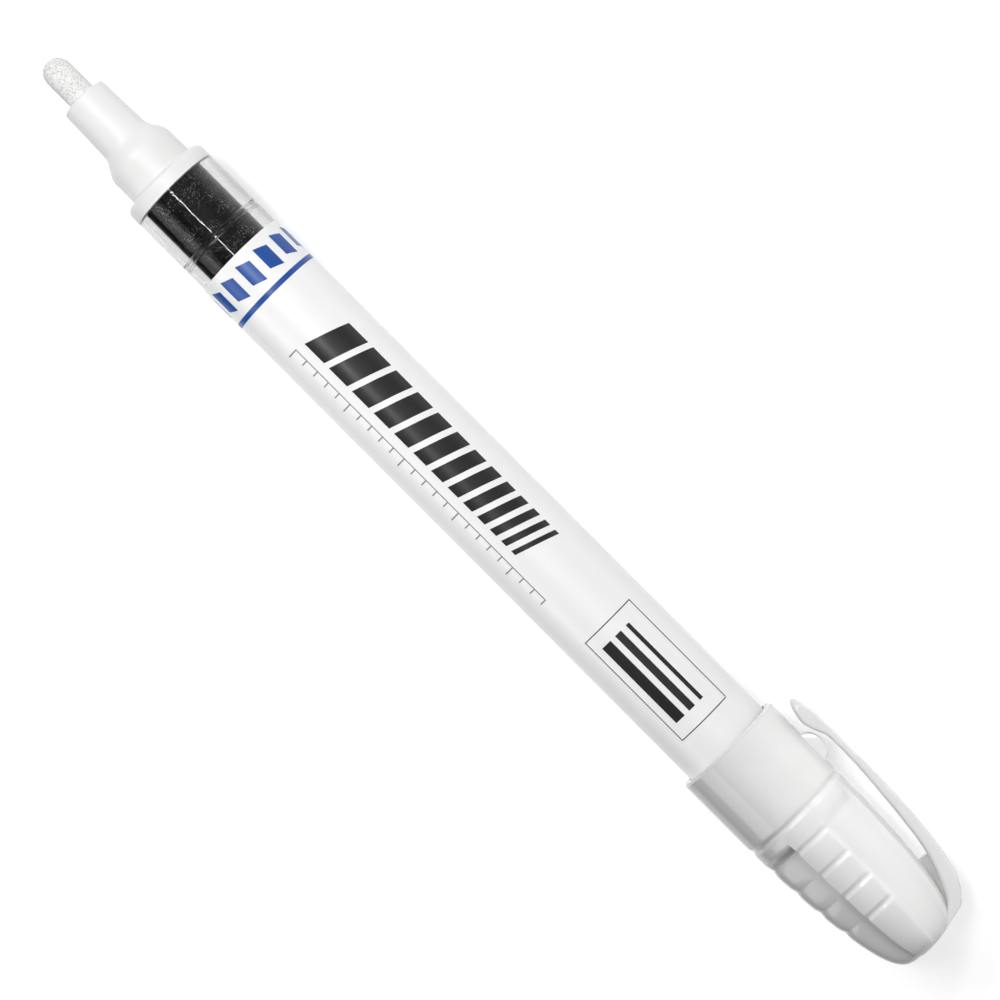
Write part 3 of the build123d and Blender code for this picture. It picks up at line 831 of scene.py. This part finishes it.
# %% Start of a material
def blank(name, **plain):
    """New material: its tree, its shader and the object's own coordinates. Plain values go on the shader."""
    material = bpy.data.materials.new(name)
    material.use_nodes = True
    tree = material.node_tree
    shader = tree.nodes["Principled BSDF"]
    for socket, value in plain.items():
        shader.inputs[socket.replace("_", " ")].default_value = value
    return material, tree, shader, wire(tree, "TexCoord").outputs["Object"]


def grey(value, warmth=0.0):
    """Neutral colour with a little more red than blue."""
    return (value * (1 + warmth), value, value * (1 - warmth), 1.0)


def surface(name, light, deep, drift_scale, roughness, spread, wave_scale, wave_depth, specks=None, **plain):
    """Material whose colour drifts between a light and a deep tone, under specks where these are given, with
    uneven gloss and low waves as its relief. Scales are per metre, the depth of the waves is in metres."""
    material, tree, shader, place = blank(name, **plain)
    colour = wire(tree, "Group", {
        "Vector": place, "Scale": drift_scale, "Light": light, "Deep": deep},
        node_tree=drift_group).outputs["Color"]
    if specks:
        colour = wire(tree, "Group", {
            "Vector": place, "Color": colour, **specks}, node_tree=speck_group).outputs["Color"]
    skin_node = wire(tree, "Group", {
        "Vector": place, "Scale": wave_scale, "Roughness": roughness, "Spread": spread}, node_tree=skin_group)
    relief = wire(tree, "Bump", {
        "Height": skin_node.outputs["Height"], "Distance": wave_depth, "Strength": 1.0})
    tree.links.new(colour, shader.inputs["Base Color"])
    tree.links.new(skin_node.outputs["Roughness"], shader.inputs["Roughness"])
    tree.links.new(relief.outputs["Normal"], shader.inputs["Normal"])
    return material


# %% [markdown]
# ## Plastics, film, ink and rubber
#
# The cap is a glossy white moulding, the nose a satin one that lets a little light into it, the label a
# smooth film, and the hidden parts are of natural plastic and black rubber. One plain colour each would
# look painted, so all of them drift slightly in tone and gloss, each by its own amount.

# %% Plastics
pigment = {"drift_scale": 140.0}
milky = {"Subsurface_Weight": 0.2, "Subsurface_Radius": (1, 1, 1), "Subsurface_Scale": 0.0006}
dried_ink = {**pigment, "spread": 0.15, "wave_scale": 900.0, "wave_depth": 0.000004}
cap_white = surface(
    "cap_gloss_white", grey(0.66), grey(0.64, 0.003), roughness=0.11, spread=0.08, wave_scale=420.0,
    wave_depth=0.000006, **pigment)
nose_white = surface(
    "nose_satin_white", grey(0.87, 0.002), grey(0.85, 0.004), roughness=0.42, spread=0.12, wave_scale=600.0,
    wave_depth=0.00001, **pigment, **milky)
film_white = surface(
    "label_white_film", grey(0.94), grey(0.93), roughness=0.3, spread=0.1, wave_scale=260.0,
    wave_depth=0.000003, **pigment)
black_ink = surface("ink_black", grey(0.012), grey(0.017), roughness=0.32, **dried_ink)
grey_ink = surface("ink_grey", grey(0.2), grey(0.23), roughness=0.35, **dried_ink)
blue_ink = surface("ink_blue", (0.008, 0.07, 0.33, 1), (0.012, 0.085, 0.37, 1), roughness=0.32, **dried_ink)
natural = surface(
    "natural_plastic", grey(0.72, 0.03), grey(0.67, 0.05), roughness=0.38, spread=0.15, wave_scale=500.0,
    wave_depth=0.00001, **pigment, **milky)
rubber = surface(
    "black_rubber", grey(0.018), grey(0.026), roughness=0.6, spread=0.2, wave_scale=1500.0,
    wave_depth=0.00001, **pigment)

# %% [markdown]
# ## Clear plastic
#
# The barrel is clear, slightly smoky and glossy. Transmission with the plastic's own index bends what lies
# behind it, and a thin coat gives the fine highlight line along the window. The cap's snap has rubbed the
# two walls of the ring groove matt. Paint could show that, but scuffs only change the gloss, so they are
# added to the roughness as two soft rings.

# %% Clear plastic
plastic_index = 1.49
scuff_roughness, scuff_reach = 0.45, 0.6
clear, clear_tree, clear_shader, clear_place = blank(
    "clear_barrel", Base_Color=(0.63, 0.635, 0.635, 1), Transmission_Weight=1.0, IOR=plastic_index,
    Specular_Tint=(0.12, 0.12, 0.12, 1), Coat_Weight=0.25, Coat_Roughness=0.05, Coat_IOR=plastic_index)
clear_skin = wire(clear_tree, "Group", {
    "Vector": clear_place, "Scale": 180.0, "Roughness": 0.012, "Spread": 0.012}, node_tree=skin_group)
clear_relief = wire(clear_tree, "Bump", {"Height": clear_skin.outputs["Height"], "Distance": 0.0000001})
clear_station = wire(clear_tree, "SeparateXYZ", {0: clear_place}).outputs["X"]
off_groove = maths(
    clear_tree, "ABSOLUTE", maths(clear_tree, "SUBTRACT", clear_station, groove_middle * metres))
wall_middle = (neck_groove_width - neck_groove_wall) / 2 * metres
off_wall = maths(clear_tree, "ABSOLUTE", maths(clear_tree, "SUBTRACT", off_groove, wall_middle))
scuff = wire(clear_tree, "MapRange", {
    0: off_wall, 1: 0.0, 2: scuff_reach * neck_groove_wall * metres, 3: scuff_roughness, 4: 0.0},
    interpolation_type="SMOOTHSTEP")
scuffed = maths(clear_tree, "ADD", clear_skin.outputs["Roughness"], scuff.outputs[0])
clear_tree.links.new(scuffed, clear_shader.inputs["Roughness"])
clear_tree.links.new(clear_relief.outputs["Normal"], clear_shader.inputs["Normal"])

# %% [markdown]
# ## Speckled finishes and steel
#
# The housing behind the window is dark and dusted with pale pigment, and the nib's bonded fibre is white
# with dark pores. Both are the same network: a drifting tone with specks. The spring and the ball are bare
# steel, which is plain metal with fine rubbing marks in its gloss.

# %% Housing, fibre and steel
dark = surface(
    "housing_dark", grey(0.012), grey(0.035, 0.04), drift_scale=260.0, roughness=0.45, spread=0.2,
    wave_scale=900.0, wave_depth=0.000008, Specular_IOR_Level=0.15,
    specks={"Scale": 4200.0, "Size": 0.27, "Bare": 0.42, "Speck": grey(0.6, 0.03)})
fibre = surface(
    "nib_fibre", grey(0.96, 0.004), grey(0.88, 0.008), drift_scale=1500.0, roughness=0.85, spread=0.2,
    wave_scale=4200.0, wave_depth=0.00009, Sheen_Weight=0.15,
    specks={"Scale": 5200.0, "Size": 0.36, "Bare": 0.28, "Speck": grey(0.5, 0.01)})
bare_metal = {"drift_scale": 700.0, "wave_scale": 2500.0, "wave_depth": 0.000004, "Metallic": 1.0}
spring_steel = surface("spring_steel", grey(0.58), grey(0.5), roughness=0.3, spread=0.2, **bare_metal)
ball_steel = surface("ball_steel", grey(0.68), grey(0.62), roughness=0.14, spread=0.12, **bare_metal)

# %% [markdown]
# ## Dressing the pieces
#
# New pieces take one material each. The solids that stay as they are, the seals, the valve's stem, the
# plug, the liner and the ball, keep their meshes and only get a new finish in their material slots.

# %% Assign materials
for piece, finish in (
        (nib, fibre), (nose, nose_white), (barrel, clear), (housing, dark), (spring, spring_steel),
        (label, film_white), (ink_blue, blue_ink), (ink_black, black_ink), (ink_grey, grey_ink),
        (cap, cap_white), (clip, cap_white)):
    piece.data.materials.append(finish)
for node, finish in {
        "seat_ring": rubber, "housing_o_ring": rubber, "plug_o_ring": rubber, "spring_retainer": natural,
        "rear_plug": natural, "valve_stem": natural, "cap_liner": natural,
        "agitator_ball": ball_steel}.items():
    frame["nodes"][node].material_slots[0].material = finish
print("materials:", len(bpy.data.materials))

# %% [markdown]
# ## Floor
#
# The floor is a plain pale sheet. More light could make it white, but that would burn out the marker too.
# So the floor itself glows a little for the camera, for gloss and for what is seen through the barrel, and
# it still takes the marker's shadow.

# %% Floor
floor_half = 3000.0
floor_glow = 0.55
floor_line = np.linspace(-floor_half, floor_half, 2)
floor_grid = np.stack(np.broadcast_arrays(floor_line[:, None], floor_line[None], 0.0), axis=-1)
floor = skin("floor", floor_grid, wrap_columns=False)
pale, pale_tree, pale_shader, pale_place = blank(
    "floor_pale", Roughness=0.9, Specular_IOR_Level=0.0, Emission_Color=grey(1.0))
pale_tone = wire(pale_tree, "Group", {
    "Vector": pale_place, "Scale": 6.0, "Light": grey(0.79), "Deep": grey(0.78)}, node_tree=drift_group)
pale_tree.links.new(pale_tone.outputs["Color"], pale_shader.inputs["Base Color"])
paths = wire(pale_tree, "LightPath").outputs
seen = maths(pale_tree, "ADD", paths["Is Camera Ray"], paths["Is Glossy Ray"])
seen = maths(pale_tree, "ADD", seen, paths["Is Transmission Ray"], use_clamp=True)
pale_tree.links.new(maths(pale_tree, "MULTIPLY", seen, floor_glow), pale_shader.inputs["Emission Strength"])
floor.data.materials.append(pale)

# %% [markdown]
# ## Sky and lamps
#
# The light is that of a small product studio. A weak sky, bright on the viewer's side and dark behind the
# marker, gives the gloss something to show. Softboxes in front, above and at the side model the round
# forms, and a strip lamp draws the line along the barrel. One big lamp would be simpler, but it leaves the
# white cap flat. Small fills lift what stays too dark: the nose, the cap on the clip's side, and the far
# sides of label and cap. Those for the far sides give no highlight. The cap's own stands in for the light
# that a pale table throws up from below, so it and the fill on the clip's side reach chosen pieces alone,
# as if cards kept them off the rest.


# %% Sky
def tilt(degrees):
    """Direction square to the barrel, turned from the viewer towards the clip."""
    return np.cos(np.radians(degrees)) * to_viewer + np.sin(np.radians(degrees)) * to_clip


sky_tilt = 36
sky_dark, sky_bright, sky_seen = 0.02, 0.38, 0.95
sky_full = 0.85
world = bpy.data.worlds.new("studio")
bpy.context.scene.world = world
world.use_nodes = True
sky = world.node_tree
facing = wire(sky, "VectorMath", {
    0: wire(sky, "TexCoord").outputs["Generated"], 1: tuple(tilt(sky_tilt))}, operation="DOT_PRODUCT")
glow = wire(sky, "MapRange", {
    0: facing.outputs["Value"], 1: 0.0, 2: sky_full, 3: sky_dark, 4: sky_bright},
    interpolation_type="SMOOTHSTEP")
camera_ray = wire(sky, "LightPath").outputs["Is Camera Ray"]
shown = wire(sky, "Mix", {0: camera_ray, 2: glow.outputs[0], 3: sky_seen})
sky.nodes["Background"].inputs["Color"].default_value = grey(1.0)
sky.links.new(shown.outputs[0], sky.nodes["Background"].inputs["Strength"])


# %% Lamps
def lamp(name, turn, lean, distance, size, power, station=0.0, spread=180.0, gloss=True, only=()):
    """Rectangular lamp at a distance in metres from a station on the axis, which it faces with its first side
    along X. It stands in the direction of the tilt by its turn, leant along the barrel. A spread under 180
    degrees narrows its beam, as a grid on a softbox does. Without gloss it gives soft light and no highlight.
    Given a few pieces, it lights these alone, and only these shade it."""
    light = bpy.data.lights.new(name, "AREA")
    light.shape = "RECTANGLE"
    light.size, light.size_y = size
    light.energy = power
    light.spread = np.radians(spread)
    holder = bpy.data.objects.new(name, light)
    back = Vector(tilt(turn) + lean * along).normalized()
    side = (Vector(along) - back * back.x).normalized()
    facing_axis = Matrix((side, back.cross(side), back)).transposed().to_4x4()
    aim = axis_middle * (1 - along) + station * along
    holder.matrix_world = Matrix.Translation(Vector(aim) * metres + back * distance) @ facing_axis
    bpy.context.collection.objects.link(holder)
    holder.visible_glossy = gloss
    if only:
        chosen = bpy.data.collections.new(name)
        for piece in only:
            chosen.objects.link(piece)
        holder.light_linking.receiver_collection = chosen
        holder.light_linking.blocker_collection = chosen


# %% Softboxes
lamp("front_box", turn=4, lean=0.42, distance=0.4, size=(0.03, 0.25), power=0.34)
lamp("top_box", turn=-14, lean=0.9, distance=0.5, size=(0.1, 0.3), power=0.8)
lamp("strip_lamp", turn=-9.5, lean=0.21, distance=0.45, size=(0.085, 0.014), power=0.25)
lamp("side_box", turn=-72, lean=-0.317, distance=0.32, size=(0.08, 0.2), power=0.1)
lamp("clip_box", turn=44, lean=-0.9, distance=0.3, size=(0.25, 0.25), power=0.26, station=-62.0)

# %% Fills
lamp(
    "clip_fill", turn=50, lean=0.35, distance=0.13, size=(0.04, 0.08), power=0.0082, station=-66.0,
    spread=40.0, only=(cap, clip))
lamp(
    "back_fill", turn=-108, lean=-0.25, distance=0.5, size=(0.3, 0.12), power=0.32, station=-40.0,
    gloss=False, only=(nose, label, ink_blue, ink_black, ink_grey))
lamp(
    "cap_fill", turn=-160, lean=-0.25, distance=0.3, size=(0.3, 0.16), power=0.7, station=-60.0,
    gloss=False, only=(cap, clip))
lamp(
    "nose_fill", turn=-66, lean=0, distance=0.2, size=(0.12, 0.1), power=0.011, station=26.0, spread=56.0)
print("lamps:", len(bpy.data.lights))

# %% [markdown]
# ## Camera
#
# The photograph looks square at the side of the clip's plane, with the barrel running down to the right. A
# long lens keeps the perspective weak. Its focal length follows from the width that the frame spans at the
# marker. The marker could be turned instead, but its place is the solids', so the camera rolls about its
# line of sight.

# %% Camera
photo_span = 125.0
camera_distance = 520.0
sensor_width = 36.0
roll = np.radians(45.09)
centre_station, centre_rise = -0.61, 1.42
camera = bpy.data.cameras.new("camera")
camera.sensor_width = sensor_width
camera.lens = sensor_width * camera_distance / photo_span
image_right = np.sin(roll) * to_clip - np.cos(roll) * along
image_up = np.cos(roll) * to_clip + np.sin(roll) * along
target = axis_middle * (1 - along) + centre_station * along + centre_rise * to_clip
eye = bpy.data.objects.new("camera", camera)
eye.matrix_world = Matrix.Translation(Vector((target + camera_distance * to_viewer) * metres)) @ Matrix(
    (image_right, image_up, to_viewer)).transposed().to_4x4()
bpy.context.collection.objects.link(eye)
bpy.context.scene.camera = eye
bpy.context.scene.view_settings.view_transform = "Standard"
print("lens", round(camera.lens, 1))
